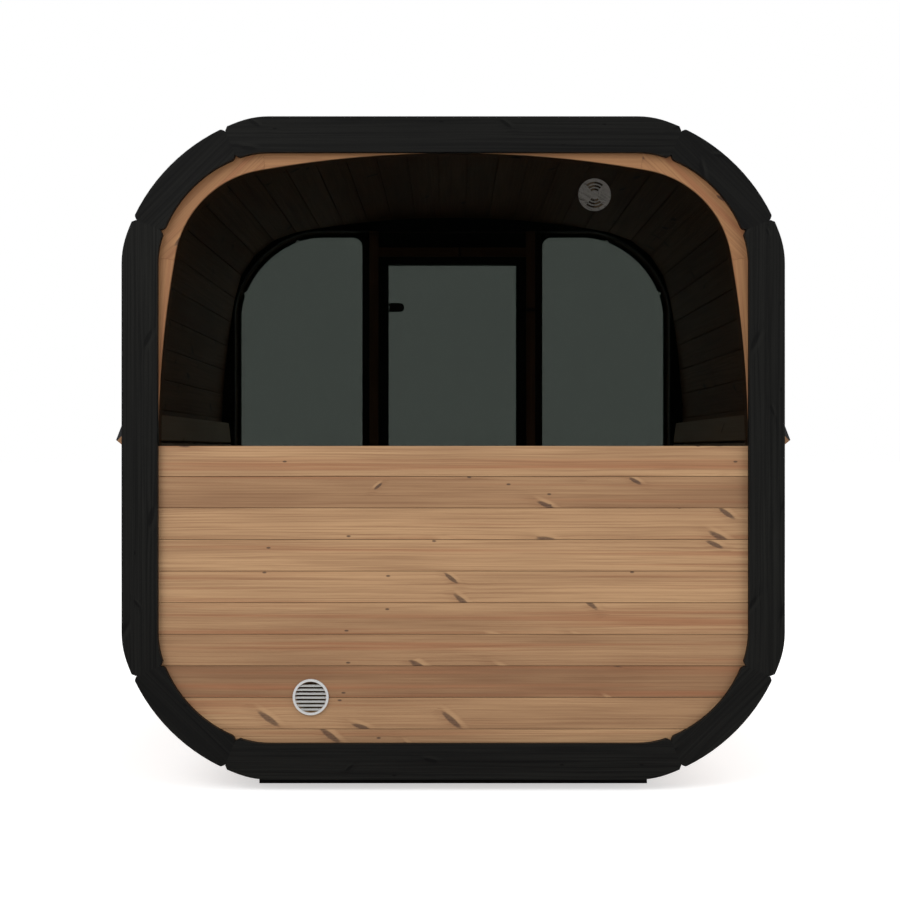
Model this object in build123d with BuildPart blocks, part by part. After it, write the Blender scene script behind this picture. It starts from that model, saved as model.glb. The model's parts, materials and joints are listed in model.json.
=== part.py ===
from build123d import *

import os
from math import atan2, cos, degrees, hypot, radians, sin, sqrt

os.makedirs("parts", exist_ok=True)

# Outdoor sauna cabin: a rounded-square shell of staves that lies along Y, closed by two end walls.
# The rear end, with a half-panorama window, faces -Y. The front end, with a glass door, faces +Y.
# The origin is on the ground, under the middle of the cabin. All sizes are in millimetres.

# End rings
ring_length = 2400
ring_half = 1150
ring_board = 124
ring_corner = 510
ring_end_radius = 300
ring_outer_radius = 645
ring_inner_radius = 440
ring_thickness = 28
ring_joint_inset = 67
ring_joint_angle = 22.5
ring_board_cut = 12

# Shell of staves
ring_lap = 44
shell_bow_radius = 4000
shell_corner_radius = 362
stave_thickness = 38

# Roof felt and the strips that it ends on
felt_thickness = 4.5
drip_top = 54
drip_tip = 25
drip_bottom = 3
drip_projection = 27
felt_fold = 41

# Bearers under the shell
foot_height = 40
bearer_width = 95
bearer_side_inset = 418
bearer_setback = 140
bearer_cradle = 55

# End walls
arch_reveal = 3
front_reveal = 16
opening_bow_radius = 3790
opening_corner_radius = 357
arch_joint_angle = 6.3
wall_thickness = 42
rear_arch_thickness = 12
pane_thickness = 8
sill_level = 7
pane_lap = 27
sill_rail = 60
rear_frame_thickness = 38
front_frame_thickness = 65
seat_gap = 0.3

# Wall grille
grille_radius = 62.5
grille_side_inset = 610
grille_base_inset = 239
grille_rim = 8
grille_depth = 9
grille_blades = 7
grille_pitch = 13.7
blade_recess = 2
blade_rise = 5
blade_thickness = 1.6
duct_radius = 52

# Window vent
vent_radius = 57.5
vent_side_inset = 535
vent_top_inset = 144
vent_thickness = 4
shutter_radius = 52
shutter_thickness = 3
shutter_turn = -40
vent_slot_count = 3
vent_slot_radius = 19.5
vent_slot_pitch = 11.4
vent_slot_start = 50
vent_slot_span = 80
vent_slot_width = 5.8
vent_knob_radius = 9
vent_knob_height = 12

# Front wall and door
door_half = 321
jamb_thickness = 34
post_width = 42
facade_post_width = 116
facade_fillet = 46
wall_post_setback = 6
transom_height = 129
head_thickness = 24
door_clearance = 8
stop_width = 14
stop_gap = 9
threshold_thickness = 32
door_frame_depth = 92
leaf_setback = 16
leaf_thickness = 8

# Hinges and handles
hinge_inset = 22
hinge_offset = 10
hinge_height = 43
hinge_reach = 66
hinge_top_inset = 206
hinge_bottom_inset = 232
knuckle_radius = 6.5
knuckle_gap = 0.6
pin_radius = 3
pin_clearance = 0.3
clamp_start = 10
clamp_inner_start = -2
clamp_thickness = 5
bracket_thickness = 3
bracket_width = 28
handle_length = 280
handle_width = 19
handle_inset = 60
handle_height = 867
handle_standoff = 34
handle_bolt_radius = 5
handle_bolt_spacing = 200
handle_bolt_clearance = 0.3
bolt_seat = 3

# Floor and benches
floor_rise = 74
floor_thickness = 28
joist_spacing = 270
joist_width = 45
seat_height = 472
seat_wall_gap = 90
seat_board = 105
seat_board_gap = 12
seat_boards = 4
seat_thickness = 28
bench_end_gap = 12
beam_height = 95
beam_width = 45
beam_inset = 20
leg_width = 45
back_board = 95
back_gap = 8
back_boards = 4
back_thickness = 28
back_lean = 7
back_rise = 682
back_wall_gap = 40
back_end_gap = 34
batten_width = 40
batten_inset = 20
frame_inset = 180

# Worked out from the sizes above
far = 2 * ring_half
centre_height = foot_height + ring_half
ring_inner_half = ring_half - ring_board
ring_flat = ring_half - ring_corner
ring_joint_apex = ring_flat - ring_joint_inset
shell_half = ring_half - ring_lap
shell_outer_half = shell_half + stave_thickness
opening_half = ring_inner_half + arch_reveal
rear_face = -ring_length / 2
front_face = ring_length / 2
shell_rear = rear_face + ring_thickness
shell_front = front_face - ring_thickness
shell_length = shell_front - shell_rear
rear_boards_inside = shell_rear + wall_thickness
rear_pane_outside = shell_rear + rear_arch_thickness
rear_pane_inside = rear_pane_outside + pane_thickness
rear_wall_inside = rear_boards_inside + rear_frame_thickness
front_pane_outside = shell_front - wall_thickness
front_pane_inside = front_pane_outside - pane_thickness
front_wall_inside = front_pane_inside - front_frame_thickness
floor_top = floor_rise - shell_half
threshold_top = floor_top + threshold_thickness
door_top = ring_inner_half - transom_height
head_level = door_top + head_thickness
post_inner = door_half + jamb_thickness
facade_outer = door_half + facade_post_width
leaf_outside = shell_front - leaf_setback
leaf_inside = leaf_outside - leaf_thickness
leaf_half = door_half - door_clearance
leaf_top = door_top - door_clearance
leaf_bottom = threshold_top + door_clearance
hinge_x = -(door_half - hinge_inset)
hinge_y = leaf_outside + hinge_offset
hinge_levels = (leaf_top - hinge_top_inset, leaf_bottom + hinge_bottom_inset)
handle_x = leaf_half - handle_inset
handle_level = floor_top + handle_height


def wall_plane(y):
    """An upright plane across the cabin at y, centred on the rings, that extrudes to the rear."""
    return Plane(origin=(0, y, centre_height), x_dir=(1, 0, 0), z_dir=(0, -1, 0))


def turned(x, z, quarter):
    """The point (x, z) after some quarter turns about the cabin's long axis."""
    for _ in range(quarter):
        x, z = -z, x
    return x, z


def ring_shape(half, middle_radius, mode=Mode.ADD):
    """A ring's edge, filled: straight sides, and corners of three tangent arcs."""
    edge = half - ring_end_radius
    gap = middle_radius - ring_end_radius
    centre = (ring_flat + edge - sqrt(2 * gap**2 - (edge - ring_flat) ** 2)) / 2
    lean = degrees(atan2(ring_flat - centre, edge - centre))
    with BuildLine() as outline:
        for quarter in range(4):
            turn = 90 * quarter
            CenterArc(turned(edge, ring_flat, quarter), ring_end_radius, turn, lean)
            CenterArc(turned(centre, centre, quarter), middle_radius, turn + lean, 90 - 2 * lean)
            CenterArc(turned(ring_flat, edge, quarter), ring_end_radius, turn + 90 - lean, lean)
            Line(turned(ring_flat, half, quarter), turned(-ring_flat, half, quarter))
    make_face(outline.edges(), mode=mode)


def corner_centre(half, bow_radius, corner_radius):
    """Where a bowed square's corner arc is centred, and the angle at which its side begins."""
    inset = bow_radius - half
    reach = bow_radius - corner_radius
    centre = (sqrt(2 * reach**2 - inset**2) - inset) / 2
    return centre, degrees(atan2(centre, centre + inset))


def bowed_square(half, bow_radius, corner_radius, mode):
    """A square with bowed sides and round corners, all tangent, filled."""
    inset = bow_radius - half
    centre, lean = corner_centre(half, bow_radius, corner_radius)
    with BuildLine() as outline:
        for quarter in range(4):
            turn = 90 * quarter
            CenterArc(turned(-inset, 0, quarter), bow_radius, turn - lean, 2 * lean)
            CenterArc(turned(centre, centre, quarter), corner_radius, turn + lean, 90 - 2 * lean)
    make_face(outline.edges(), mode=mode)


def shell_shape(growth=0.0, mode=Mode.ADD):
    """The shell's inner outline, grown outwards by a distance."""
    bow_radius = shell_bow_radius + growth
    bowed_square(shell_half + growth, bow_radius, shell_corner_radius + growth, mode)


def opening_shape(growth=0.0, mode=Mode.ADD):
    """The outline of the opening in an end wall's arch, grown outwards by a distance."""
    bow_radius = opening_bow_radius + growth
    bowed_square(opening_half + growth, bow_radius, opening_corner_radius + growth, mode)


def front_opening_shape(growth=0.0, mode=Mode.ADD):
    """The outline of the front wall's opening, clear of the ring's notches, grown outwards."""
    reveal = front_reveal + growth
    ring_shape(ring_inner_half + reveal, ring_inner_radius + reveal, mode)


def box_shape(x_low, x_high, z_low, z_high, mode=Mode.ADD):
    """The rectangle between two corners."""
    with Locations(((x_low + x_high) / 2, (z_low + z_high) / 2)):
        Rectangle(x_high - x_low, z_high - z_low, mode=mode)


def outline_shape(points, mode=Mode.ADD):
    """The polygon through some points."""
    with BuildLine() as outline:
        Polyline(points, close=True)
    make_face(outline.edges(), mode=mode)


def keep_corner(apex, angle, quarter):
    """Keep what lies between a corner's two joint lines, which leave its apex."""
    reach = (apex + far * cos(radians(angle)), apex + far * sin(radians(angle)))
    wedge = [(apex, apex), reach, (reach[1], reach[0])]
    outline_shape([turned(*point, quarter) for point in wedge], Mode.INTERSECT)


def keep_side(apex, angle, quarter):
    """Keep what lies between the joint lines at the two ends of a side."""
    reach = (apex + far * cos(radians(angle)), apex + far * sin(radians(angle)))
    side = [(apex, apex), (apex, -apex), (reach[0], -reach[1]), reach]
    outline_shape([turned(*point, quarter) for point in side], Mode.INTERSECT)


def on_ring_joint(edge):
    """Whether an edge's middle lies in one of the planes where two ring boards meet."""
    x, z = abs(edge.center().X), abs(edge.center().Z - centre_height)
    across = min(x, z) - ring_joint_apex
    along = max(x, z) - ring_joint_apex
    angle = radians(ring_joint_angle)
    return abs(across * cos(angle) - along * sin(angle)) < 0.01


def write(piece, name):
    """Label a finished piece and write its file."""
    piece.part.label = name
    export_step(piece.part, f"parts/{name}.step")


# Shell of staves
shell_apex, shell_lean = corner_centre(shell_half, shell_bow_radius, shell_corner_radius)
side_names = ("right", "top", "left", "bottom")
corner_names = ("top_right", "top_left", "bottom_left", "bottom_right")

for quarter in range(4):
    with BuildPart() as shell_side:
        with BuildSketch(wall_plane(shell_front)):
            shell_shape(stave_thickness)
            shell_shape(mode=Mode.SUBTRACT)
            keep_side(shell_apex, shell_lean, quarter)
        extrude(amount=shell_length)
    write(shell_side, f"shell_{side_names[quarter]}")

    with BuildPart() as shell_turn:
        with BuildSketch(wall_plane(shell_front)):
            shell_shape(stave_thickness)
            shell_shape(mode=Mode.SUBTRACT)
            keep_corner(shell_apex, shell_lean, quarter)
        extrude(amount=shell_length)
    write(shell_turn, f"shell_corner_{corner_names[quarter]}")


# Drip strips, a wedge along each side, and the roof felt that runs over them
tip_x = shell_outer_half + drip_projection
slope_length = hypot(drip_projection, drip_top - drip_tip)
felt_rise = felt_thickness * drip_projection / slope_length
felt_out = felt_thickness * (drip_top - drip_tip) / slope_length

for name, side in (("drip_strip_left", -1), ("drip_strip_right", 1)):
    with BuildPart() as drip_strip:
        with BuildSketch(wall_plane(shell_front)):
            outline_shape([
                (side * shell_half, drip_top),
                (side * shell_outer_half, drip_top),
                (side * tip_x, drip_tip),
                (side * shell_outer_half, drip_bottom),
                (side * shell_half, drip_bottom),
            ])
            shell_shape(stave_thickness, Mode.SUBTRACT)
        extrude(amount=shell_length)
    write(drip_strip, name)

with BuildPart() as roof_felt:
    with BuildSketch(wall_plane(shell_front)):
        shell_shape(stave_thickness + felt_thickness)
        box_shape(-far, far, drip_top, far, Mode.INTERSECT)
        for side in (-1, 1):
            outline_shape([
                (side * shell_outer_half, drip_top),
                (side * tip_x, drip_tip),
                (side * (tip_x + felt_out), drip_tip + felt_rise),
                (side * (shell_outer_half + felt_thickness), drip_top + felt_fold),
                (side * shell_half, drip_top + felt_fold),
                (side * shell_half, drip_top),
            ])
        shell_shape(stave_thickness, Mode.SUBTRACT)
    extrude(amount=shell_length)
write(roof_felt, "roof_felt")


# Bearers, cut to the shell's curve
bearer_rear = rear_face + bearer_setback + bearer_width
bearer_fronts = (bearer_rear, bearer_width / 2, -rear_face - bearer_setback)
with BuildPart() as bearers:
    for bearer_front in bearer_fronts:
        with BuildSketch(wall_plane(bearer_front)):
            bearer_top = bearer_cradle - shell_outer_half
            bearer_half = shell_half - bearer_side_inset
            box_shape(-bearer_half, bearer_half, -centre_height, bearer_top)
            shell_shape(stave_thickness, Mode.SUBTRACT)
        extrude(amount=bearer_width)
write(bearers, "bearers")


# End rings, each of four straight boards and four corner boards with their ends cut back
def end_ring(name, y):
    """The boards of one ring, whose inner face lies at y or beyond it."""
    with BuildPart() as boards:
        for quarter in range(4):
            with BuildSketch(wall_plane(y)):
                ring_shape(ring_half, ring_outer_radius)
                ring_shape(ring_inner_half, ring_inner_radius, Mode.SUBTRACT)
                keep_side(ring_joint_apex, ring_joint_angle, quarter)
            extrude(amount=ring_thickness)
        chamfer(boards.edges().filter_by(Axis.Y).filter_by(on_ring_joint), ring_board_cut)
    write(boards, f"{name}_boards")

    with BuildPart() as corners:
        for quarter in range(4):
            with BuildSketch(wall_plane(y)):
                ring_shape(ring_half, ring_outer_radius)
                ring_shape(ring_inner_half, ring_inner_radius, Mode.SUBTRACT)
                keep_corner(ring_joint_apex, ring_joint_angle, quarter)
            extrude(amount=ring_thickness)
        chamfer(corners.edges().filter_by(Axis.Y).filter_by(on_ring_joint), ring_board_cut)
    write(corners, f"{name}_corners")


end_ring("rear_ring", shell_rear)
end_ring("front_ring", front_face)


# End walls: arches of natural wood round the windows, in straight and corner pieces
arch_apex, _ = corner_centre(opening_half, opening_bow_radius, opening_corner_radius)


def end_arch(name, opening, layers, low):
    """An arch round an opening in layers, each a front plane and a thickness, down to a low level."""
    with BuildPart() as sides:
        for y, thickness in layers:
            for quarter in range(3):
                with BuildSketch(wall_plane(y)):
                    shell_shape(-seat_gap)
                    opening(mode=Mode.SUBTRACT)
                    keep_side(arch_apex, arch_joint_angle, quarter)
                    box_shape(-far, far, low, far, Mode.INTERSECT)
                extrude(amount=thickness)
    write(sides, f"{name}_sides")

    with BuildPart() as corners:
        for y, thickness in layers:
            for quarter in range(2):
                with BuildSketch(wall_plane(y)):
                    shell_shape(-seat_gap)
                    opening(mode=Mode.SUBTRACT)
                    keep_corner(arch_apex, arch_joint_angle, quarter)
                extrude(amount=thickness)
    write(corners, f"{name}_corners")


rail_bottom = sill_level - sill_rail
rear_arch_layers = [(rear_pane_outside, rear_arch_thickness),
                    (rear_boards_inside, rear_boards_inside - rear_pane_inside)]
end_arch("rear_arch", opening_shape, rear_arch_layers, sill_level)
end_arch("rear_frame", opening_shape, [(rear_wall_inside, rear_frame_thickness)], rail_bottom)
end_arch("front_arch", front_opening_shape, [(shell_front, wall_thickness)], sill_level)
end_arch("front_frame", front_opening_shape, [(front_pane_inside, front_frame_thickness)], rail_bottom)

# Rails inside, under the rear window and under the two side windows
door_post_outer = post_inner + post_width
with BuildPart() as window_rails:
    with BuildSketch(wall_plane(rear_wall_inside)):
        opening_shape(-seat_gap)
        box_shape(-far, far, rail_bottom, sill_level, Mode.INTERSECT)
    extrude(amount=rear_frame_thickness)
    with BuildSketch(wall_plane(front_pane_inside)):
        front_opening_shape(-seat_gap)
        box_shape(-far, far, rail_bottom, sill_level, Mode.INTERSECT)
        rail_start = door_post_outer + seat_gap
        box_shape(-rail_start, rail_start, rail_bottom, sill_level, Mode.SUBTRACT)
    extrude(amount=front_frame_thickness)
write(window_rails, "window_rails")


# Rear wall below the window, with the duct behind the grille
grille_x = grille_side_inset - shell_half
grille_z = grille_base_inset - shell_half
with BuildPart() as rear_wall:
    with BuildSketch(wall_plane(rear_boards_inside)):
        shell_shape(-seat_gap)
        box_shape(-far, far, -far, sill_level, Mode.INTERSECT)
        with Locations((grille_x, grille_z)):
            Circle(duct_radius, mode=Mode.SUBTRACT)
    extrude(amount=wall_thickness)
write(rear_wall, "rear_wall")

# Rear window pane, behind the arch's thin front layer, standing on the wall
with BuildPart() as rear_window:
    with BuildSketch(wall_plane(rear_pane_inside)):
        shell_shape(-seat_gap)
        box_shape(-far, far, sill_level, far, Mode.INTERSECT)
    extrude(amount=pane_thickness)
write(rear_window, "rear_window")


# Round grille with louvre blades over the duct
grille_inner = grille_radius - grille_rim
grille_start = Plane(
    origin=(grille_x - grille_inner, shell_rear, centre_height + grille_z),
    x_dir=(0, 1, 0),
    z_dir=(1, 0, 0),
)
with BuildPart() as wall_grille:
    with BuildSketch(grille_start):
        for blade in range(grille_blades):
            level = (blade - (grille_blades - 1) / 2) * grille_pitch
            outline_shape([
                (blade_recess - grille_depth, level - blade_rise),
                (0, level),
                (0, level + blade_thickness),
                (blade_recess - grille_depth, level - blade_rise + blade_thickness),
            ])
    extrude(amount=2 * grille_inner)
    with BuildSketch(wall_plane(shell_rear)):
        with Locations((grille_x, grille_z)):
            Circle((grille_inner + grille_radius) / 2)
    extrude(amount=grille_depth, mode=Mode.INTERSECT)
    with BuildSketch(wall_plane(shell_rear)):
        with Locations((grille_x, grille_z)):
            Circle(grille_radius)
            Circle(grille_inner, mode=Mode.SUBTRACT)
    extrude(amount=grille_depth)
write(wall_grille, "wall_grille")


# Round vent on the rear window's inner face: a slotted cover and a shutter that turns behind it
vent_x = opening_half - vent_side_inset
vent_z = opening_half - vent_top_inset


def arc_slot(slot_radius, width, start):
    """Cut a slot that follows an arc about the vent's middle, with straight ends."""
    ends = (start, start + vent_slot_span)
    rims = (slot_radius - width / 2, slot_radius + width / 2)
    with BuildLine() as outline:
        for rim in rims:
            CenterArc((vent_x, vent_z), rim, start, vent_slot_span)
        for end in (radians(angle) for angle in ends):
            Line(*[(vent_x + rim * cos(end), vent_z + rim * sin(end)) for rim in rims])
    make_face(outline.edges(), mode=Mode.SUBTRACT)


def vent_disc(name, y, radius, thickness, slots, turn):
    """A disc whose inner face lies at y, with two groups of slots, each a radius and a width."""
    with BuildPart() as disc:
        with BuildSketch(wall_plane(y)):
            with Locations((vent_x, vent_z)):
                Circle(radius)
            for group in (0, 180):
                for slot_radius, width in slots:
                    arc_slot(slot_radius, width, vent_slot_start + turn + group)
        extrude(amount=thickness)
        if name == "vent_shutter":
            with BuildSketch(wall_plane(y + vent_knob_height)):
                with Locations((vent_x, vent_z)):
                    Circle(vent_knob_radius)
            extrude(amount=vent_knob_height)
    write(disc, name)


slots_depth = (vent_slot_count - 1) * vent_slot_pitch
cover_slots = [(vent_slot_radius + slot * vent_slot_pitch, vent_slot_width)
               for slot in range(vent_slot_count)]
shutter_slots = [(vent_slot_radius + slots_depth / 2, slots_depth + vent_slot_width)]
cover_inside = rear_pane_inside + vent_thickness
shutter_inside = cover_inside + shutter_thickness
vent_disc("vent_cover", cover_inside, vent_radius, vent_thickness, cover_slots, 0)
vent_disc("vent_shutter", shutter_inside, shutter_radius, shutter_thickness, shutter_slots,
          shutter_turn)


# Front wall: posts beside the side windows, and boards below them
with BuildPart() as wall_posts:
    for side in (-1, 1):
        x_ends = sorted((side * post_inner, side * (facade_outer - wall_post_setback)))
        with BuildSketch(wall_plane(shell_front)):
            front_opening_shape(-seat_gap)
            box_shape(*x_ends, sill_level, far, Mode.INTERSECT)
        extrude(amount=wall_thickness)
write(wall_posts, "wall_posts")

with BuildPart() as front_panels:
    for side in (-1, 1):
        x_ends = sorted((side * post_inner, side * far))
        with BuildSketch(wall_plane(shell_front)):
            shell_shape(-seat_gap)
            box_shape(*x_ends, -far, sill_level - seat_gap, Mode.INTERSECT)
        extrude(amount=wall_thickness)
write(front_panels, "front_panels")

with BuildPart() as door_posts:
    for side in (-1, 1):
        x_ends = sorted((side * post_inner, side * door_post_outer))
        with BuildSketch(wall_plane(front_pane_inside)):
            front_opening_shape(-seat_gap)
            box_shape(*x_ends, floor_top, far, Mode.INTERSECT)
        extrude(amount=front_frame_thickness)
write(door_posts, "door_posts")

# Boards over the door, behind the transom and as a strip inside
head_half = post_inner - seat_gap
with BuildPart() as head_board:
    with BuildSketch(wall_plane(shell_front)):
        front_opening_shape(-seat_gap)
        box_shape(-head_half, head_half, head_level, far, Mode.INTERSECT)
    extrude(amount=wall_thickness)
write(head_board, "head_board")

with BuildPart() as head_strip:
    with BuildSketch(wall_plane(front_pane_outside)):
        box_shape(-head_half, head_half, head_level, head_level + post_width)
    extrude(amount=front_frame_thickness + pane_thickness)
write(head_strip, "head_strip")

with BuildPart() as side_windows:
    for side in (-1, 1):
        x_ends = sorted((side * (post_inner + seat_gap), side * far))
        with BuildSketch(wall_plane(front_pane_outside)):
            shell_shape(-seat_gap)
            box_shape(*x_ends, sill_level - pane_lap, far, Mode.INTERSECT)
        extrude(amount=pane_thickness)
write(side_windows, "side_windows")


# Black facade within the front ring: posts with a fillet at the window's top corner, and a transom
with BuildPart() as facade_posts:
    for side in (-1, 1):
        ring_top = ring_inner_half - seat_gap
        post_ends = sorted((side * door_half, side * facade_outer))
        corner_ends = sorted((side * facade_outer, side * (facade_outer + facade_fillet)))
        with BuildSketch(wall_plane(front_face)):
            box_shape(*post_ends, -ring_top, ring_top)
            box_shape(*corner_ends, ring_top - facade_fillet, ring_top)
            with Locations((side * (facade_outer + facade_fillet), ring_top - facade_fillet)):
                Circle(facade_fillet, mode=Mode.SUBTRACT)
        extrude(amount=ring_thickness)
write(facade_posts, "facade_posts")

with BuildPart() as facade_transom:
    with BuildSketch(wall_plane(front_face)):
        transom_half = door_half - seat_gap
        box_shape(-transom_half, transom_half, door_top, ring_inner_half - seat_gap)
    extrude(amount=ring_thickness)
write(facade_transom, "facade_transom")


# Door frame: jambs and a head, stops behind the leaf, a threshold and a sill below it
stop_face = leaf_inside - stop_gap
stop_depth = door_frame_depth - (shell_front - stop_face)
stop_inner = door_half - stop_width
stop_level = door_top - stop_width

with BuildPart() as door_jambs:
    with BuildSketch(wall_plane(shell_front)):
        for side in (-1, 1):
            jamb_ends = sorted((side * door_half, side * (post_inner - seat_gap)))
            box_shape(*jamb_ends, threshold_top, door_top - seat_gap)
        box_shape(-head_half, head_half, door_top, head_level - seat_gap)
    extrude(amount=door_frame_depth)
write(door_jambs, "door_jambs")

with BuildPart() as door_stops:
    with BuildSketch(wall_plane(stop_face)):
        for side in (-1, 1):
            stop_ends = sorted((side * stop_inner, side * door_half))
            box_shape(*stop_ends, threshold_top, stop_level - seat_gap)
        box_shape(-door_half, door_half, stop_level, door_top)
    extrude(amount=stop_depth)
write(door_stops, "door_stops")

with BuildPart() as threshold:
    with BuildSketch(wall_plane(shell_front)):
        box_shape(-head_half, head_half, floor_top, threshold_top)
    extrude(amount=door_frame_depth)
write(threshold, "threshold")

with BuildPart() as door_sill:
    with BuildSketch(wall_plane(shell_front)):
        shell_shape(-seat_gap)
        box_shape(-head_half, head_half, -far, floor_top, Mode.INTERSECT)
    extrude(amount=wall_thickness)
write(door_sill, "door_sill")


# Door leaf of tinted glass, bored for the handle bolts
with BuildPart() as door_glass:
    with BuildSketch(wall_plane(leaf_outside)):
        box_shape(-leaf_half, leaf_half, leaf_bottom, leaf_top)
        with Locations((handle_x, handle_level)):
            with GridLocations(0, handle_bolt_spacing, 1, 2):
                Circle(handle_bolt_radius + handle_bolt_clearance, mode=Mode.SUBTRACT)
    extrude(amount=leaf_thickness)
write(door_glass, "door_glass")

# Handles: a bar on each side, on bolts that run from bar to bar through the glass
bar_gap = handle_standoff - handle_width / 2
bolt_end = leaf_outside + bar_gap + bolt_seat
bolt_length = leaf_thickness + 2 * (bar_gap + bolt_seat)
with BuildPart() as handle_bars:
    for bar_y in (leaf_inside - handle_standoff, leaf_outside + handle_standoff):
        bar_foot = centre_height + handle_level - handle_length / 2
        with BuildSketch(Plane.XY.offset(bar_foot)):
            with Locations((handle_x, bar_y)):
                Rectangle(handle_width, handle_width)
        extrude(amount=handle_length)
    with BuildSketch(wall_plane(bolt_end)):
        with Locations((handle_x, handle_level)):
            with GridLocations(0, handle_bolt_spacing, 1, 2):
                Circle(handle_bolt_radius + handle_bolt_clearance)
    extrude(amount=bolt_length, mode=Mode.SUBTRACT)
write(handle_bars, "handle_bars")

with BuildPart() as handle_bolts:
    with BuildSketch(wall_plane(bolt_end)):
        with Locations((handle_x, handle_level)):
            with GridLocations(0, handle_bolt_spacing, 1, 2):
                Circle(handle_bolt_radius)
    extrude(amount=bolt_length)
write(handle_bolts, "handle_bolts")


# Hinges: brackets on the jamb with two knuckles and a pin, and clamps on the glass with one
knuckle_height = (hinge_height - 2 * knuckle_gap) / 3


def hinge_plane(level):
    """A level plane at a height above the hinge's own middle, with its origin on the hinge axis."""
    return Plane(origin=(hinge_x, hinge_y, centre_height + level), z_dir=(0, 0, 1))


with BuildPart() as hinge_brackets:
    for hinge_level in hinge_levels:
        foot = hinge_level - hinge_height / 2
        with BuildSketch(hinge_plane(foot)):
            with Locations((-hinge_inset + bracket_thickness / 2, -bracket_width / 2 + knuckle_radius)):
                Rectangle(bracket_thickness, bracket_width)
        extrude(amount=hinge_height)
        for knuckle_foot in (foot, foot + hinge_height - knuckle_height):
            with BuildSketch(hinge_plane(knuckle_foot)):
                Circle(knuckle_radius)
                with Locations((-hinge_inset / 2, 0)):
                    Rectangle(hinge_inset, bracket_thickness)
            extrude(amount=knuckle_height)
        with BuildSketch(hinge_plane(foot)):
            Circle(pin_radius)
        extrude(amount=hinge_height)
write(hinge_brackets, "hinge_brackets")


def clamp_shape(start):
    """A clamp plate's outline on the leaf: square at the hinge, round at its free end."""
    for hinge_level in hinge_levels:
        round_end = hinge_reach - hinge_height / 2
        box_shape(hinge_x + start, hinge_x + round_end, hinge_level - hinge_height / 2,
                  hinge_level + hinge_height / 2)
        with Locations((hinge_x + round_end, hinge_level)):
            Circle(hinge_height / 2)


with BuildPart() as hinge_clamps:
    with BuildSketch(wall_plane(leaf_outside + clamp_thickness)):
        clamp_shape(clamp_start)
    extrude(amount=clamp_thickness)
    for hinge_level in hinge_levels:
        with BuildSketch(hinge_plane(hinge_level - knuckle_height / 2)):
            Circle(knuckle_radius)
            tongue_centre = clamp_thickness / 2 - hinge_offset
            with Locations((clamp_start / 2, tongue_centre)):
                Rectangle(clamp_start, clamp_thickness)
            Circle(pin_radius + pin_clearance, mode=Mode.SUBTRACT)
        extrude(amount=knuckle_height)
    with BuildSketch(wall_plane(leaf_inside)):
        clamp_shape(clamp_inner_start)
    extrude(amount=clamp_thickness)
write(hinge_clamps, "hinge_clamps")


# Floor slab on joists
room_rear = rear_boards_inside + seat_gap
room_front = front_pane_outside - seat_gap
with BuildPart() as floor:
    with BuildSketch(wall_plane(room_front)):
        shell_shape(-seat_gap)
        box_shape(-far, far, floor_top - floor_thickness, floor_top, Mode.INTERSECT)
    extrude(amount=room_front - room_rear)
write(floor, "floor")

with BuildPart() as floor_joists:
    for joist_centre in (-joist_spacing, 0, joist_spacing):
        with BuildSketch(wall_plane(room_front)):
            shell_shape(-seat_gap)
            joist_ends = (joist_centre - joist_width / 2, joist_centre + joist_width / 2)
            box_shape(*joist_ends, -far, floor_top - floor_thickness, Mode.INTERSECT)
        extrude(amount=room_front - room_rear)
write(floor_joists, "floor_joists")


# Benches: seat boards on beams that reach the shell, with legs at the front
bench_length = room_front - room_rear - 2 * bench_end_gap
seat_top = floor_top + seat_height
seat_pitch = seat_board + seat_board_gap
seat_front = shell_half - seat_wall_gap - seat_boards * seat_pitch + seat_board_gap
beam_top = seat_top - seat_thickness
beam_start = seat_front + beam_inset

with BuildPart() as bench_boards:
    with BuildSketch(wall_plane(room_front - bench_end_gap)):
        for side in (-1, 1):
            for board in range(seat_boards):
                board_start = seat_front + board * seat_pitch
                board_ends = sorted((side * board_start, side * (board_start + seat_board)))
                box_shape(*board_ends, beam_top, seat_top)
    extrude(amount=bench_length)
write(bench_boards, "bench_boards")

bench_frame_step = bench_length / 2 - frame_inset
frame_fronts = [step * bench_frame_step + beam_width / 2 for step in (-1, 0, 1)]
with BuildPart() as bench_beams:
    for frame_front in frame_fronts:
        for side in (-1, 1):
            beam_ends = sorted((side * beam_start, side * far))
            with BuildSketch(wall_plane(frame_front)):
                shell_shape(-seat_gap)
                box_shape(*beam_ends, beam_top - beam_height, beam_top, Mode.INTERSECT)
            extrude(amount=beam_width)
write(bench_beams, "bench_beams")

with BuildPart() as bench_legs:
    for frame_front in frame_fronts:
        with BuildSketch(wall_plane(frame_front)):
            for side in (-1, 1):
                leg_ends = sorted((side * beam_start, side * (beam_start + leg_width)))
                box_shape(*leg_ends, floor_top, beam_top - beam_height)
            shell_shape(-seat_gap, Mode.INTERSECT)
        extrude(amount=beam_width)
write(bench_legs, "bench_legs")


# Leaning backrests: boards on upright battens that are cut to the shell's curve
back_rear = rear_wall_inside + back_end_gap
back_front = front_wall_inside - back_end_gap
back_height = back_boards * back_board + (back_boards - 1) * back_gap
back_top = seat_top + back_rise
back_face = shell_half - back_wall_gap
lean = radians(back_lean)


def on_backrest(side, down, out):
    """A point some way down a backrest's face, and some way out from the room."""
    x = back_face - down * sin(lean) + out * cos(lean)
    z = back_top - down * cos(lean) - out * sin(lean)
    return side * x, z


with BuildPart() as backrest_boards:
    with BuildSketch(wall_plane(back_front)):
        for side in (-1, 1):
            for board in range(back_boards):
                start = board * (back_board + back_gap)
                end = start + back_board
                outline_shape([
                    on_backrest(side, start, 0),
                    on_backrest(side, start, back_thickness),
                    on_backrest(side, end, back_thickness),
                    on_backrest(side, end, 0),
                ])
    extrude(amount=back_front - back_rear)
write(backrest_boards, "backrest_boards")

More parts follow.
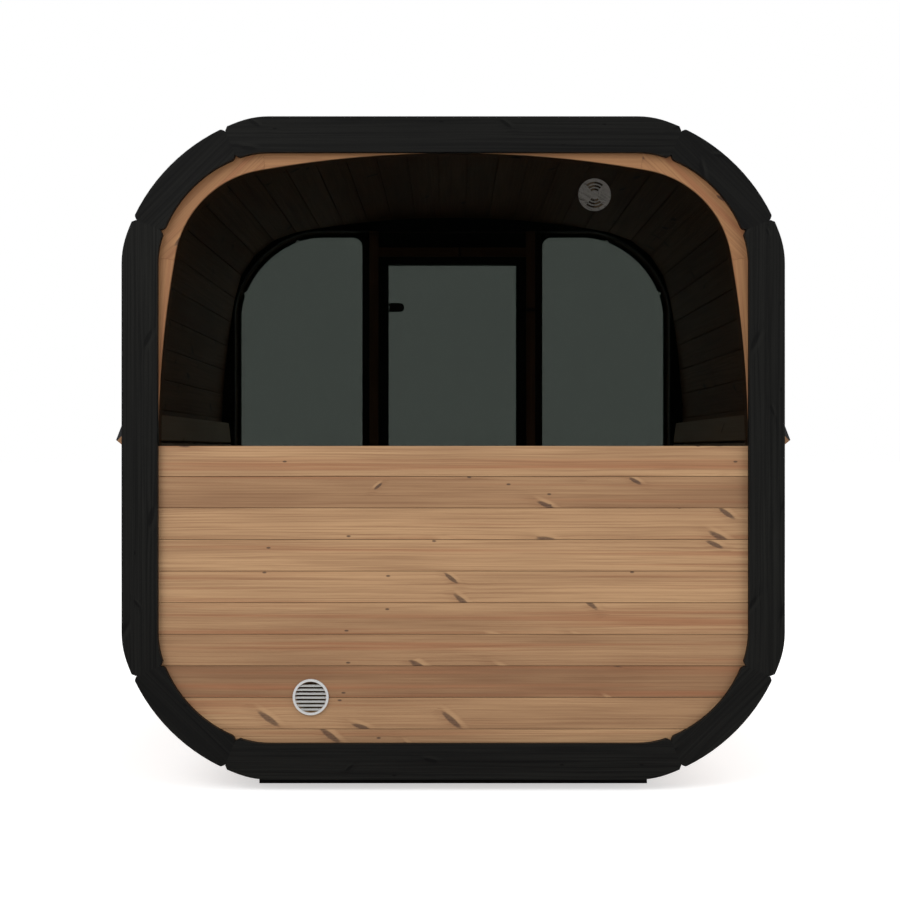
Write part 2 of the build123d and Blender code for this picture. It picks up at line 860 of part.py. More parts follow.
batten_step = (back_front - back_rear) / 2 - frame_inset
batten_middle = (back_front + back_rear) / 2
with BuildPart() as backrest_battens:
    for step in (-1, 0, 1):
        for side in (-1, 1):
            with BuildSketch(wall_plane(batten_middle + step * batten_step + batten_width / 2)):
                outline_shape([
                    on_backrest(side, batten_inset, back_thickness),
                    on_backrest(side, batten_inset, ring_half),
                    on_backrest(side, back_height - batten_inset, ring_half),
                    on_backrest(side, back_height - batten_inset, back_thickness),
                ])
                shell_shape(-seat_gap, Mode.INTERSECT)
            extrude(amount=batten_width)
write(backrest_battens, "backrest_battens")
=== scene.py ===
"""Outdoor sauna cabin: a rounded-square shell of staves between two end walls, finished for the render."""

import json
import logging
import math
import random
from dataclasses import dataclass, field
from enum import Enum
from typing import Callable, Iterable, Sequence, Union

import bmesh
import bpy
import numpy as np
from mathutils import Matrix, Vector

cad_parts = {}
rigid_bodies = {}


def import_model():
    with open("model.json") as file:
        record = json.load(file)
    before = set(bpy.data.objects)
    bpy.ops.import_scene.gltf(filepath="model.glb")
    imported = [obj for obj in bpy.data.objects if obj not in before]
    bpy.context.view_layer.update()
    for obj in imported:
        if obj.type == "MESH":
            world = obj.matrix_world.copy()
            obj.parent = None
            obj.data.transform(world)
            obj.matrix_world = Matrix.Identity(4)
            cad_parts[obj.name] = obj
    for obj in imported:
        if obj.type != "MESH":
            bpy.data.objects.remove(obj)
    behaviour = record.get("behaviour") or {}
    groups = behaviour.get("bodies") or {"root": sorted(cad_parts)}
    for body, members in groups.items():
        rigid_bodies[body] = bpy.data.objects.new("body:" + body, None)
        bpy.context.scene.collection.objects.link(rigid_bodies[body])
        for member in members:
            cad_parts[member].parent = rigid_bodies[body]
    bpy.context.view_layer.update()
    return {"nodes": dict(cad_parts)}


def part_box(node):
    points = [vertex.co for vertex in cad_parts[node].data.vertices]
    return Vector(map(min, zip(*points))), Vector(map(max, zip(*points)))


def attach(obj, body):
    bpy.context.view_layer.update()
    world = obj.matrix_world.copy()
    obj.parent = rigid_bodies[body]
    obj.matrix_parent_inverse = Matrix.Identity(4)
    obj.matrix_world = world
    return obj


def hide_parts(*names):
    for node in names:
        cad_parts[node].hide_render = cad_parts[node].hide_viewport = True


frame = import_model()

LOG = logging.getLogger("sauna_cabin")

Colour = tuple[float, float, float]
Point = tuple[float, float, float]
Input = Union["Value", float, int, bool, Sequence[float], bpy.types.ID]

# Metres.
CENTRE_HEIGHT = 1.190  # middle of shell and rings over the ground
MERGE_DISTANCE = 1e-5
STAIN_EDGE = 0.0015
WOOD_EDGE = 0.0012
BENCH_EDGE = 0.003
VENEER_EDGE = 0.0008
METAL_EDGE = 0.0006
RIM_EDGE = 0.001

# Degrees that the surface turns across an edge.
FLAT_TURN = 0.6
SMOOTH_TURN = 20.0
SHARP_TURN = 38.0

WHITE = (1.0, 1.0, 1.0)


def srgb(red: int, green: int, blue: int) -> Colour:
    """Linear colour of a screen colour.

    Args:
        red: Red, 0 to 255.
        green: Green, 0 to 255.
        blue: Blue, 0 to 255.

    Returns:
        The linear colour.
    """
    shares = (c / 255 for c in (red, green, blue))
    return tuple(s / 12.92 if s <= 0.04045 else ((s + 0.055) / 1.055) ** 2.4 for s in shares)


class Slot(Enum):
    """Material slots of the record."""

    NATURAL = "natural_wood"
    STAINED = "black_stained_wood"
    BENCH = "bench_wood"
    FELT = "roof_felt"
    GLASS = "tinted_glass"
    STEEL = "steel"
    GRILLE = "grille_metal"
    VENT = "vent_metal"
    SHUTTER = "vent_shutter_wood"


class Body(Enum):
    """Bodies of the model that move apart."""

    CABIN = "cabin"
    DOOR = "door"


# ---- Node trees ----


class Value:
    """A socket of a node tree; an expression on it adds Math nodes."""

    def __init__(self, tree: "Tree", socket: bpy.types.NodeSocket) -> None:
        """Wraps a socket.

        Args:
            tree: The tree that the socket is in.
            socket: The output socket.
        """
        self.tree = tree
        self.socket = socket

    def at(self, name: str) -> "Value":
        """Another output of the same node."""
        return Value(self.tree, self.socket.node.outputs[name])

    def math(self, operation: str, *terms: Input) -> "Value":
        """A Math node on the given terms."""
        return self.tree.add("ShaderNodeMath", dict(enumerate(terms)), operation=operation)

    def __add__(self, other: Input) -> "Value":
        """Sum."""
        return self.math("ADD", self, other)

    __radd__ = __add__

    def __mul__(self, other: Input) -> "Value":
        """Product."""
        return self.math("MULTIPLY", self, other)

    __rmul__ = __mul__

    def __sub__(self, other: Input) -> "Value":
        """Difference."""
        return self.math("SUBTRACT", self, other)

    def __rsub__(self, other: Input) -> "Value":
        """Difference, with this value taken away."""
        return self.math("SUBTRACT", other, self)

    def __truediv__(self, other: Input) -> "Value":
        """Quotient."""
        return self.math("DIVIDE", self, other)

    def __pow__(self, other: Input) -> "Value":
        """Power."""
        return self.math("POWER", self, other)

    def __gt__(self, other: Input) -> "Value":
        """1 where this is the larger, else 0."""
        return self.math("GREATER_THAN", self, other)

    def ramp(self, low: float, high: float) -> "Value":
        """Smooth step from 0 at low to 1 at high; low may be the larger.

        Args:
            low: Value that gives 0.
            high: Value that gives 1.

        Returns:
            The share.
        """
        inputs = {"Value": self, "From Min": low, "From Max": high, "To Min": 0.0, "To Max": 1.0}
        return self.tree.add("ShaderNodeMapRange", inputs, interpolation_type="SMOOTHSTEP")


class Tree:
    """A node tree that is filled by one method."""

    def __init__(self, node_tree: bpy.types.NodeTree) -> None:
        """Wraps a tree and empties it.

        Args:
            node_tree: The tree.
        """
        self.node_tree = node_tree
        node_tree.nodes.clear()

    def add(self, kind: str, inputs: dict | None = None, output: Union[int, str] = 0,
            **settings: object) -> Value:
        """Adds a node.

        Args:
            kind: The node's type.
            inputs: Values or links of its sockets, by name or number.
            output: The output that is returned.
            settings: The node's settings, set before its sockets.

        Returns:
            The chosen output, or the node's first input where it has no output.
        """
        node = self.node_tree.nodes.new(kind)
        for name, setting in settings.items():
            setattr(node, name, setting)
        for key, given in (inputs or {}).items():
            socket = node.inputs[key]
            for one in given if isinstance(given, list) else [given]:
                if isinstance(one, Value):
                    self.node_tree.links.new(one.socket, socket)
                elif socket.type == "RGBA":
                    socket.default_value = (*one, 1.0)
                else:
                    socket.default_value = one
        return Value(self, node.outputs[output] if node.outputs else node.inputs[0])

    def vector(self, x: Input = 0.0, y: Input = 0.0, z: Input = 0.0) -> Value:
        """A vector of three values."""
        return self.add("ShaderNodeCombineXYZ", {0: x, 1: y, 2: z})


class Shader(Tree):
    """A material's tree."""

    def __init__(self, name: str) -> None:
        """Makes the material.

        Args:
            name: The material's name.
        """
        self.material = bpy.data.materials.new(name)
        self.material.use_nodes = True
        super().__init__(self.material.node_tree)

    def mix(self, factor: Input, first: Input, second: Input) -> Value:
        """Mixes two colours.

        Args:
            factor: Share of the second colour.
            first: First colour.
            second: Second colour.

        Returns:
            The colour.
        """
        return self.add("ShaderNodeMix", {0: factor, 6: first, 7: second}, 2, data_type="RGBA")

    def noise(self, where: Value, scale: float, detail: float = 2.0, roughness: float = 0.5) -> Value:
        """Noise from 0 to 1.

        Args:
            where: Coordinates.
            scale: Lumps to the metre.
            detail: Octaves.
            roughness: Share that each octave keeps.

        Returns:
            The noise.
        """
        inputs = {"Vector": where, "Scale": scale, "Detail": detail, "Roughness": roughness}
        return self.add("ShaderNodeTexNoise", inputs)

    def object_place(self) -> Value:
        """Object coordinates."""
        return self.add("ShaderNodeTexCoord", output="Object")

    def bump(self, height: Value, distance: float) -> Value:
        """A normal bent by a height.

        Args:
            height: Height, 0 to 1.
            distance: Depth of the relief in metres.

        Returns:
            The normal.
        """
        return self.add("ShaderNodeBump", {"Height": height, "Distance": distance, "Strength": 1.0})

    def finish(self, **sockets: Input) -> bpy.types.Material:
        """Ends the tree in a Principled shader.

        Args:
            sockets: Its values or links, with _ for each space.

        Returns:
            The material.
        """
        inputs = {name.replace("_", " "): given for name, given in sockets.items()}
        surface = self.add("ShaderNodeBsdfPrincipled", inputs)
        self.add("ShaderNodeOutputMaterial", {"Surface": surface})
        return self.material


class Builder(Tree):
    """A Geometry Nodes tree with named inputs."""

    def __init__(self, name: str, sizes: dict[str, float], counts: dict[str, int] | None = None) -> None:
        """Makes the tree and its inputs.

        Args:
            name: The tree's name.
            sizes: Lengths in metres and other numbers, by input name.
            counts: Whole numbers, by input name.
        """
        super().__init__(bpy.data.node_groups.new(name, "GeometryNodeTree"))
        interface = self.node_tree.interface
        interface.new_socket("Geometry", in_out="INPUT", socket_type="NodeSocketGeometry")
        self.given = {**sizes, **(counts or {})}
        self.ids = {}
        for label in self.given:
            kind = "NodeSocketInt" if label in (counts or {}) else "NodeSocketFloat"
            self.ids[label] = interface.new_socket(label, in_out="INPUT", socket_type=kind).identifier
        interface.new_socket("Geometry", in_out="OUTPUT", socket_type="NodeSocketGeometry")
        self.source = self.add("NodeGroupInput", output="Geometry")

    def size(self, label: str) -> Value:
        """A named input."""
        return self.source.at(label)

    def arrows(self, operation: str, *terms: Input, output: int = 0) -> Value:
        """A Vector Math node on the given terms."""
        return self.add("ShaderNodeVectorMath", dict(enumerate(terms)), output, operation=operation)

    def scaled(self, arrow: Value, factor: Value) -> Value:
        """An arrow times a number."""
        return self.add("ShaderNodeVectorMath", {0: arrow, "Scale": factor}, operation="SCALE")

    def flattened(self, arrow: Value) -> Value:
        """An arrow without its share along the cabin."""
        return self.arrows("MULTIPLY", arrow, (1.0, 0.0, 1.0))

    def grow(self, base: bpy.types.Object, shape: Value,
             material: bpy.types.Material) -> bpy.types.Mesh:
        """Ends the tree and turns the object that it is put on into a plain mesh.

        Args:
            base: Object that carries the tree for as long as this takes.
            shape: The geometry that the tree makes.
            material: Material of all of it.

        Returns:
            The mesh.
        """
        real = self.add("GeometryNodeRealizeInstances", {"Geometry": shape})
        coloured = self.add("GeometryNodeSetMaterial", {"Geometry": real, "Material": material})
        self.add("NodeGroupOutput", {0: coloured})
        modifier = base.modifiers.new(self.node_tree.name, "NODES")
        modifier.node_group = self.node_tree
        for label, number in self.given.items():
            modifier[self.ids[label]] = number
        seen = base.evaluated_get(bpy.context.evaluated_depsgraph_get())
        mesh = bpy.data.meshes.new_from_object(seen)
        base.modifiers.remove(modifier)
        bpy.data.objects.remove(base)
        return mesh


# ---- Finishes ----


@dataclass(frozen=True)
class Veins:
    """Noise that is drawn out along the grain."""

    along: float
    across: float
    detail: float = 2.0
    roughness: float = 0.5
    shift: float = 0.0

    def lay(self, tree: Shader, along: Value, across: Value, depth: Input = 0.0) -> Value:
        """The noise at a place in the wood.

        Args:
            tree: The material's tree.
            along: Place along the grain.
            across: Place across the board's face.
            depth: Place through its thickness.

        Returns:
            The noise, 0 to 1.
        """
        place = tree.vector(along * self.along + self.shift, across * self.across, depth * self.across)
        return tree.noise(place, 1.0, self.detail, self.roughness)


@dataclass(frozen=True)
class KnotForm:
    """Sizes of a knot; each "more" is what chance adds to the least, in metres and radians."""

    scatter: float = 0.8
    least_lean: float = 0.12
    more_lean: float = 0.6
    falling_above: float = 0.3
    least_length: float = 0.012
    more_length: float = 0.034
    least_width: float = 0.0042
    more_width: float = 0.0065
    flecks: Veins = Veins(60.0, 260.0, detail=3.0)
    ragged: float = 0.8
    heart_rim: tuple[float, float] = (1.2, 0.7)
    heart_least: float = 0.4
    heart_flecks: float = 0.75
    heart_fade: float = 0.12
    halo_rim: tuple[float, float] = (4.2, 0.8)
    pale_rim: tuple[float, float] = (1.5, 0.3)
    pale_aside: float = 1.5
    pale_stretch: float = 0.6
    pins_along: float = 7.0
    pins_across: float = 16.0
    pin_rim: tuple[float, float] = (0.07, 0.03)
    pin_depth: float = 0.8


@dataclass(frozen=True)
class GrainForm:
    """Veins and growth rings of softwood."""

    sway: Veins = Veins(2.2, 5.0, detail=1.0)
    fine: Veins = Veins(1.7, 200.0, detail=4.0, roughness=0.65)
    broad: Veins = Veins(0.7, 14.0)
    patch: Veins = Veins(1.3, 11.0)
    band: Veins = Veins(0.45, 30.0, shift=7.0)
    knot_sway: float = 0.004
    line_sway: float = 0.01
    halo_sway: float = 0.003
    rings_across: float = 330.0
    rings_deep: float = 120.0
    ring_wander: float = 21.0
    ring_sharpness: float = 3.0
    tone_least: float = 0.05
    tone_more: float = 0.9
    flush_rim: tuple[float, float] = (0.5, 0.72)
    line_rim: tuple[float, float] = (0.38, 0.72)
    ring_rim: tuple[float, float] = (0.3, 0.7)
    halo_line: float = 0.15
    pale_share: float = 0.6
    line_height: float = 0.7
    ring_height: float = 0.2
    knot_height: float = 0.4
    dullness: float = 0.16


KNOT = KnotForm()
GRAIN = GrainForm()


@dataclass(frozen=True)
class Wood:
    """Sawn or planed softwood whose grain runs along each board."""

    name: str
    slot: Slot
    light: Colour
    dark: Colour
    line: Colour
    knot: Colour
    flush: Colour
    line_share: float = 0.5
    ring_share: float = 0.3
    patch_share: float = 0.7
    flush_share: float = 0.7
    knot_share: float = 0.27
    knot_spacing: float = 0.31
    knot_row: float = 0.1
    pin_share: float = 0.1
    roughness: float = 0.55
    gloss: float = 0.3
    relief: float = 0.0005

    def knots(self, tree: Shader, along: Value, across: Value) -> tuple[Value, Value, Value, Value]:
        """Slanted knots of random size, pale along one side, with pin knots between them.

        Args:
            tree: The material's tree.
            along: Place along the grain.
            across: Place across it.

        Returns:
            Shares of dark heart, disturbed grain and pale wood, and the side of the knot.
        """
        cell = tree.vector(along / self.knot_spacing, across / self.knot_row)
        found = tree.add("ShaderNodeTexVoronoi", {"Vector": cell, "Scale": 1.0, "Randomness": KNOT.scatter},
                         "Position", voronoi_dimensions="2D")
        middle = tree.add("ShaderNodeSeparateXYZ", {0: found})
        picked = tree.add("ShaderNodeSeparateColor", {0: found.at("Color")})
        chosen, big = picked > 1 - self.knot_share, picked.at("Green")
        way = 1 - (big > KNOT.falling_above) * 2
        lean = (picked.at("Blue") * KNOT.more_lean + KNOT.least_lean) * way
        ahead = along - middle * self.knot_spacing
        aside = across - middle.at("Y") * self.knot_row
        run, rise = lean.math("COSINE", lean), lean.math("SINE", lean)
        far = (ahead * run + aside * rise) / (big * KNOT.more_length + KNOT.least_length)
        wide = (aside * run - ahead * rise) / (big * KNOT.more_width + KNOT.least_width)
        fleck = KNOT.flecks.lay(tree, ahead, aside)
        reach = (far * far + wide * wide) ** 0.5
        torn = (reach + fleck * KNOT.ragged - KNOT.ragged / 2).ramp(*KNOT.heart_rim)
        depth = KNOT.heart_least + fleck * KNOT.heart_flecks - big * KNOT.heart_fade
        heart = chosen * torn * depth
        halo = chosen * reach.ramp(*KNOT.halo_rim)
        past = wide - KNOT.pale_aside
        pale = chosen * ((far * far * KNOT.pale_stretch + past * past) ** 0.5).ramp(*KNOT.pale_rim)

        spread = tree.vector(along * KNOT.pins_along, across * KNOT.pins_across)
        dots = tree.add("ShaderNodeTexVoronoi", {"Vector": spread, "Scale": 1.0}, "Distance",
                        voronoi_dimensions="2D")
        share = tree.add("ShaderNodeSeparateColor", {0: dots.at("Color")})
        pin = (share > 1 - self.pin_share) * dots.ramp(*KNOT.pin_rim)
        return heart.math("MAXIMUM", heart, pin * KNOT.pin_depth), halo, pale, aside.math("SIGN", aside)

    def material(self) -> bpy.types.Material:
        """Streaks, growth rings and knots on the board's own grain, with a tone for each board."""
        tree = Shader(self.name)
        grain = tree.add("ShaderNodeAttribute", output="Vector", attribute_name="grain")
        tone = tree.add("ShaderNodeAttribute", output="Fac", attribute_name="tone")
        split = tree.add("ShaderNodeSeparateXYZ", {0: grain})
        along, across, depth = split.at("X"), split.at("Y"), split.at("Z")
        sway = GRAIN.sway.lay(tree, along, across, depth) - 0.5
        heart, halo, pale, side = self.knots(tree, along, across + sway * GRAIN.knot_sway)

        bent = across + sway * GRAIN.line_sway + halo * side * GRAIN.halo_sway
        fine = GRAIN.fine.lay(tree, along, bent, depth)
        broad = GRAIN.broad.lay(tree, along, bent, depth)
        swing = bent * GRAIN.rings_across + broad * GRAIN.ring_wander + depth * GRAIN.rings_deep
        ring = (swing.math("SINE", swing) * 0.5 + 0.5) ** GRAIN.ring_sharpness

        patch = GRAIN.patch.lay(tree, along, across, depth)
        band = GRAIN.band.lay(tree, along, across, depth)
        shade_share = tone * GRAIN.tone_more + (patch - 0.5) * self.patch_share * 2 + GRAIN.tone_least
        body = tree.mix(shade_share, self.light, self.dark)
        flushed = tree.mix(band.ramp(*GRAIN.flush_rim) * self.flush_share, body, self.flush)
        lines = fine.ramp(*GRAIN.line_rim) * self.line_share + halo * GRAIN.halo_line
        streaked = tree.mix(lines, flushed, self.line)
        rings = ring * broad.ramp(*GRAIN.ring_rim) * self.ring_share
        ringed = tree.mix(rings, streaked, self.line)
        lit = tree.mix(pale * GRAIN.pale_share, ringed, self.light)
        colour = tree.mix(heart, lit, self.knot)
        height = fine * GRAIN.line_height + ring * GRAIN.ring_height - heart * GRAIN.knot_height
        return tree.finish(Base_Color=colour, Specular_IOR_Level=self.gloss,
                           Roughness=self.roughness + fine * GRAIN.dullness - GRAIN.dullness / 2,
                           Normal=tree.bump(height, self.relief))


@dataclass(frozen=True)
class Felt:
    """Black roofing felt with a mineral face."""

    name: str = "mineral_felt"
    slot: Slot = Slot.FELT
    light: Colour = srgb(62, 63, 65)
    dark: Colour = srgb(24, 24, 26)
    stones: float = 620.0
    stone_contrast: float = 0.6
    patches: float = 3.0
    patch_contrast: float = 0.5
    darkening: float = 0.2
    roughness: float = 0.82
    stone_roughness: float = 0.15
    relief: float = 0.0006

    def material(self) -> bpy.types.Material:
        """Crushed stone in black bitumen, a little worn in patches."""
        tree = Shader(self.name)
        place = tree.object_place()
        grains = tree.add("ShaderNodeTexVoronoi", {"Vector": place, "Scale": self.stones}, "Distance")
        stone = tree.add("ShaderNodeSeparateColor", {0: grains.at("Color")})
        patch = tree.noise(place, self.patches, 3.0)
        lightness = stone * self.stone_contrast + patch * self.patch_contrast - self.darkening
        return tree.finish(Base_Color=tree.mix(lightness, self.dark, self.light),
                           Roughness=self.roughness + stone * self.stone_roughness,
                           Normal=tree.bump(1 - grains, self.relief))


@dataclass(frozen=True)
class Glass:
    """Tinted safety glass, seen through both faces of the pane."""

    name: str
    clear: Colour
    slot: Slot = Slot.GLASS
    film: Colour = (0.0002, 0.0003, 0.0002)
    cover: float = 0.5
    reflection: float = 0.006
    smears: float = 4.0
    smear_rim: tuple[float, float] = (0.4, 0.9)
    roughness: float = 0.02
    smear_roughness: float = 0.05

    def material(self) -> bpy.types.Material:
        """A dark film on each face, over a clear body with a faint tint."""
        tree = Shader(self.name)
        smear = tree.noise(tree.object_place(), self.smears, 3.0).ramp(*self.smear_rim)
        film = tree.add("ShaderNodeBsdfPrincipled", {
            "Base Color": self.film, "Roughness": self.roughness + smear * self.smear_roughness,
            "Specular IOR Level": self.reflection})
        body = tree.add("ShaderNodeBsdfTransparent", {"Color": self.clear})
        surface = tree.add("ShaderNodeMixShader", {0: self.cover, 1: body, 2: film})
        tree.add("ShaderNodeOutputMaterial", {"Surface": surface})
        return tree.material


@dataclass(frozen=True)
class Metal:
    """Brushed or lacquered metal."""

    name: str
    slot: Slot
    light: Colour
    dark: Colour
    metallic: float
    roughness: float
    lines: float = 400.0
    line_stretch: Point = (0.06, 1.0, 1.0)
    line_contrast: float = 0.4
    patches: float = 35.0
    patch_contrast: float = 0.6
    dullness: float = 0.16
    relief: float = 0.00004

    def material(self) -> bpy.types.Material:
        """Fine brushing with a few duller patches."""
        tree = Shader(self.name)
        place = tree.object_place()
        stretch = tree.add("ShaderNodeMapping", {"Vector": place, "Scale": self.line_stretch})
        brush = tree.noise(stretch, self.lines, 3.0)
        patch = tree.noise(place, self.patches)
        darkness = patch * self.patch_contrast + brush * self.line_contrast
        colour = tree.mix(darkness, self.light, self.dark)
        return tree.finish(Base_Color=self.shaded(tree, place, colour), Metallic=self.metallic,
                           Roughness=self.roughness + brush * self.dullness - self.dullness / 2,
                           Normal=tree.bump(brush, self.relief))

    def shaded(self, tree: Shader, place: Value, colour: Value) -> Value:
        """The colour, the same all over."""
        return colour


@dataclass(frozen=True)
class RimmedMetal(Metal):
    """Metal that is bright on a round rim, with painted shade on the face within it."""

    centre: tuple[float, float] = (-0.496, 0.323)
    inner_radius: float = 0.0545
    # Painted shade: the darker colour within the rim stands for the slats lying in half shade.
    painted_slat_shade: Colour = srgb(184, 184, 182)

    def shaded(self, tree: Shader, place: Value, colour: Value) -> Value:
        """The colour of the rim, and painted shade within it.

        Args:
            tree: The material's tree.
            place: Object coordinates.
            colour: The rim's colour.

        Returns:
            The colour.
        """
        split = tree.add("ShaderNodeSeparateXYZ", {0: place})
        right, up = split - self.centre[0], split.at("Z") - self.centre[1]
        # Painted shade: points within the inner radius take the darker colour.
        return tree.mix((right * right + up * up) ** 0.5 > self.inner_radius, self.painted_slat_shade, colour)


SPRUCE = Wood("natural_spruce", Slot.NATURAL, srgb(184, 146, 107), srgb(133, 98, 69),
              srgb(112, 72, 45), srgb(56, 38, 32), srgb(150, 96, 64),
              line_share=0.46, ring_share=0.22)
# Painted shade: a darker, redder copy of the spruce, for the inner staves, the arches and the head strip,
# where shade falls.
SHADED_SPRUCE = Wood("shaded_spruce", Slot.NATURAL, srgb(163, 119, 79), srgb(139, 97, 62),
                   srgb(108, 68, 42), srgb(56, 37, 30), srgb(146, 93, 60))
STAIN = Wood("black_stain", Slot.STAINED, srgb(25, 25, 23), srgb(13, 13, 12),
             srgb(2, 2, 2), srgb(0, 0, 0), srgb(20, 20, 18), line_share=0.75, ring_share=0.6,
             knot_share=0.4, roughness=0.5, gloss=0.08)
ASPEN = Wood("planed_aspen", Slot.BENCH, srgb(214, 183, 150), srgb(203, 170, 136),
             srgb(180, 142, 106), srgb(122, 84, 56), srgb(206, 168, 134), line_share=0.35,
             ring_share=0.2, knot_share=0.08, pin_share=0.0, roughness=0.48, relief=0.0003)
# Painted light: the shutter's colours are lighter than its wood, to make up for the shade it lies in behind
# the vent cover.
SHUTTER = Wood("shutter_wood", Slot.SHUTTER, srgb(248, 222, 194), srgb(240, 210, 180),
               srgb(222, 190, 158), srgb(150, 110, 80), srgb(240, 206, 172),
               knot_share=0.0, pin_share=0.0)
FELT = Felt()
REAR_GLASS = Glass("grey_tinted_glass", (0.927, 0.913, 0.890))
FRONT_GLASS = Glass("green_tinted_glass", (0.872, 0.962, 0.924))
STEEL = Metal("black_hinge_steel", Slot.STEEL, srgb(58, 58, 60), srgb(40, 40, 42),
              metallic=0.7, roughness=0.42)
# The grille's face within the rim carries painted shade.
SILVER = RimmedMetal("silver_grille", Slot.GRILLE, srgb(205, 206, 206), srgb(190, 191, 192),
                     metallic=0.1, roughness=0.55)
# Painted light: the plate is lighter and warmer than its metal, to make up for the light that the tinted
# glass keeps off it.
VENT_METAL = Metal("vent_plate", Slot.VENT, srgb(212, 210, 208), srgb(201, 199, 197),
                   metallic=0.1, roughness=0.45)

Finish = Union[Wood, Felt, Glass, Metal, RimmedMetal]


class Paintshop:
    """Makes each finish's material once."""

    def __init__(self) -> None:
        """Starts with no material made."""
        self.made: dict[str, bpy.types.Material] = {}

    def material(self, finish: Finish) -> bpy.types.Material:
        """The material of a finish."""
        if finish.name not in self.made:
            self.made[finish.name] = finish.material()
        return self.made[finish.name]


PAINT = Paintshop()

# ---- Working meshes ----


def new_object(name: str, data: bpy.types.ID) -> bpy.types.Object:
    """Puts a mesh, curve, lamp or camera into the scene.

    Args:
        name: The object's name.
        data: Its mesh or other data.

    Returns:
        The object.
    """
    thing = bpy.data.objects.new(name, data)
    bpy.context.scene.collection.objects.link(thing)
    return thing


def paint(mesh: bpy.types.Mesh, finish: Finish) -> None:
    """Gives a mesh the material of a finish and no other."""
    mesh.materials.clear()
    mesh.materials.append(PAINT.material(finish))


def place_piece(name: str, mesh: bpy.types.Mesh, finish: Finish, body: Body,
                nodes: Iterable[str] = ()) -> bpy.types.Object:
    """Hands a finished mesh over to the frame.

    Args:
        name: The piece's name.
        mesh: Its mesh.
        finish: Its finish.
        body: The body that it moves with.
        nodes: The CAD nodes that it stands for.

    Returns:
        The piece.
    """
    paint(mesh, finish)
    piece = new_object(name, mesh)
    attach(piece, body.value)
    if nodes:
        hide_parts(*nodes)
    LOG.info("%s: %d faces, %s, on %s", name, len(mesh.polygons), finish.name, body.value)
    return piece


def open_mesh(mesh: bpy.types.Mesh) -> bmesh.types.BMesh:
    """A working copy of a mesh."""
    work = bmesh.new()
    work.from_mesh(mesh)
    return work


def whole_copy(mesh: bpy.types.Mesh) -> bmesh.types.BMesh:
    """A working copy with its corners merged and its flat sides made whole."""
    work = open_mesh(mesh)
    bmesh.ops.remove_doubles(work, verts=work.verts, dist=MERGE_DISTANCE)
    bmesh.ops.dissolve_limit(work, angle_limit=math.radians(FLAT_TURN), verts=work.verts,
                             edges=work.edges)
    return work


def solid_copy(node: str) -> bmesh.types.BMesh:
    """A whole copy of a CAD node."""
    return whole_copy(frame["nodes"][node].data)


def ease(work: bmesh.types.BMesh, width: float, steps: int = 2, least: float = SHARP_TURN,
         chosen: Callable[[bmesh.types.BMEdge], bool] = lambda edge: True) -> None:
    """Eases the edges that a hand would feel.

    Args:
        work: The mesh.
        width: Width taken off each side of an edge.
        steps: Facets across the round.
        least: Turn across an edge, in degrees, from which it counts as sharp.
        chosen: Which of the sharp edges are eased.
    """
    sharp = [e for e in work.edges
             if e.is_manifold and e.calc_face_angle(0.0) > math.radians(least) and chosen(e)]
    bmesh.ops.bevel(work, geom=sharp, offset=width, offset_type="OFFSET", segments=steps,
                    profile=0.5, affect="EDGES", clamp_overlap=True)


def shade(work: bmesh.types.BMesh) -> None:
    """Smooth shading with the sharper edges kept."""
    for face in work.faces:
        face.smooth = True
    for edge in work.edges:
        edge.smooth = edge.is_manifold and edge.calc_face_angle(0.0) < math.radians(SMOOTH_TURN)


def to_mesh(work: bmesh.types.BMesh, name: str) -> bpy.types.Mesh:
    """Writes a working mesh out and frees it."""
    mesh = bpy.data.meshes.new(name)
    work.to_mesh(mesh)
    work.free()
    return mesh


def islands(mesh: bpy.types.Mesh) -> list[list[int]]:
    """The vertex numbers of each separate solid of a mesh."""
    leader = list(range(len(mesh.vertices)))

    def lead(v: int) -> int:
        """The vertex that stands for v's solid."""
        while leader[v] != v:
            leader[v] = leader[leader[v]]
            v = leader[v]
        return v

    for edge in mesh.edges:
        a, b = (lead(v) for v in edge.vertices)
        leader[max(a, b)] = min(a, b)
    groups: dict[int, list[int]] = {}
    for v in range(len(leader)):
        groups.setdefault(lead(v), []).append(v)
    return list(groups.values())


def board_axes(points: np.ndarray) -> np.ndarray:
    """Length, width and thickness directions of a board.

    Args:
        points: Its corners, one row each.

    Returns:
        The three directions, longest first, one row each.
    """
    half_turn, step, digits = 180, 2.5, 5
    angles = np.radians(np.arange(0, half_turn, step))
    ways = np.stack([np.cos(angles), 0 * angles, np.sin(angles)], 1)
    widths = np.ptp(points @ ways.T, axis=0)
    depth = ways[int(np.argmin(np.round(widths, digits)))]
    axes = np.array([[0.0, 1.0, 0.0], [depth[2], 0.0, -depth[0]], depth])
    spans = np.ptp(points @ axes.T, axis=0)
    return axes[np.argsort(-spans, kind="stable")]


def lay_grain(mesh: bpy.types.Mesh, seed: str) -> None:
    """Writes the grain's coordinates and a tone for each board of a mesh.

    Args:
        mesh: The mesh.
        seed: Word that fixes the draw.
    """
    reach_along, reach_across = 40, 9
    dice = random.Random(seed)
    corners = np.zeros(len(mesh.vertices) * 3)
    mesh.vertices.foreach_get("co", corners)
    corners = corners.reshape(-1, 3)
    grain = np.zeros_like(corners)
    tone = np.zeros(len(corners))
    for board in sorted(islands(mesh), key=lambda b: tuple(corners[b].mean(0).round(3)[::-1])):
        local = corners[board]
        shift = np.array([dice.uniform(0, reach) for reach in (reach_along, reach_across, reach_across)])
        grain[board] = (local - local.mean(0)) @ board_axes(local).T + shift
        tone[board] = dice.random()
    mesh.attributes.new("grain", "FLOAT_VECTOR", "POINT").data.foreach_set("vector", grain.ravel())
    mesh.attributes.new("tone", "FLOAT", "POINT").data.foreach_set("value", tone)


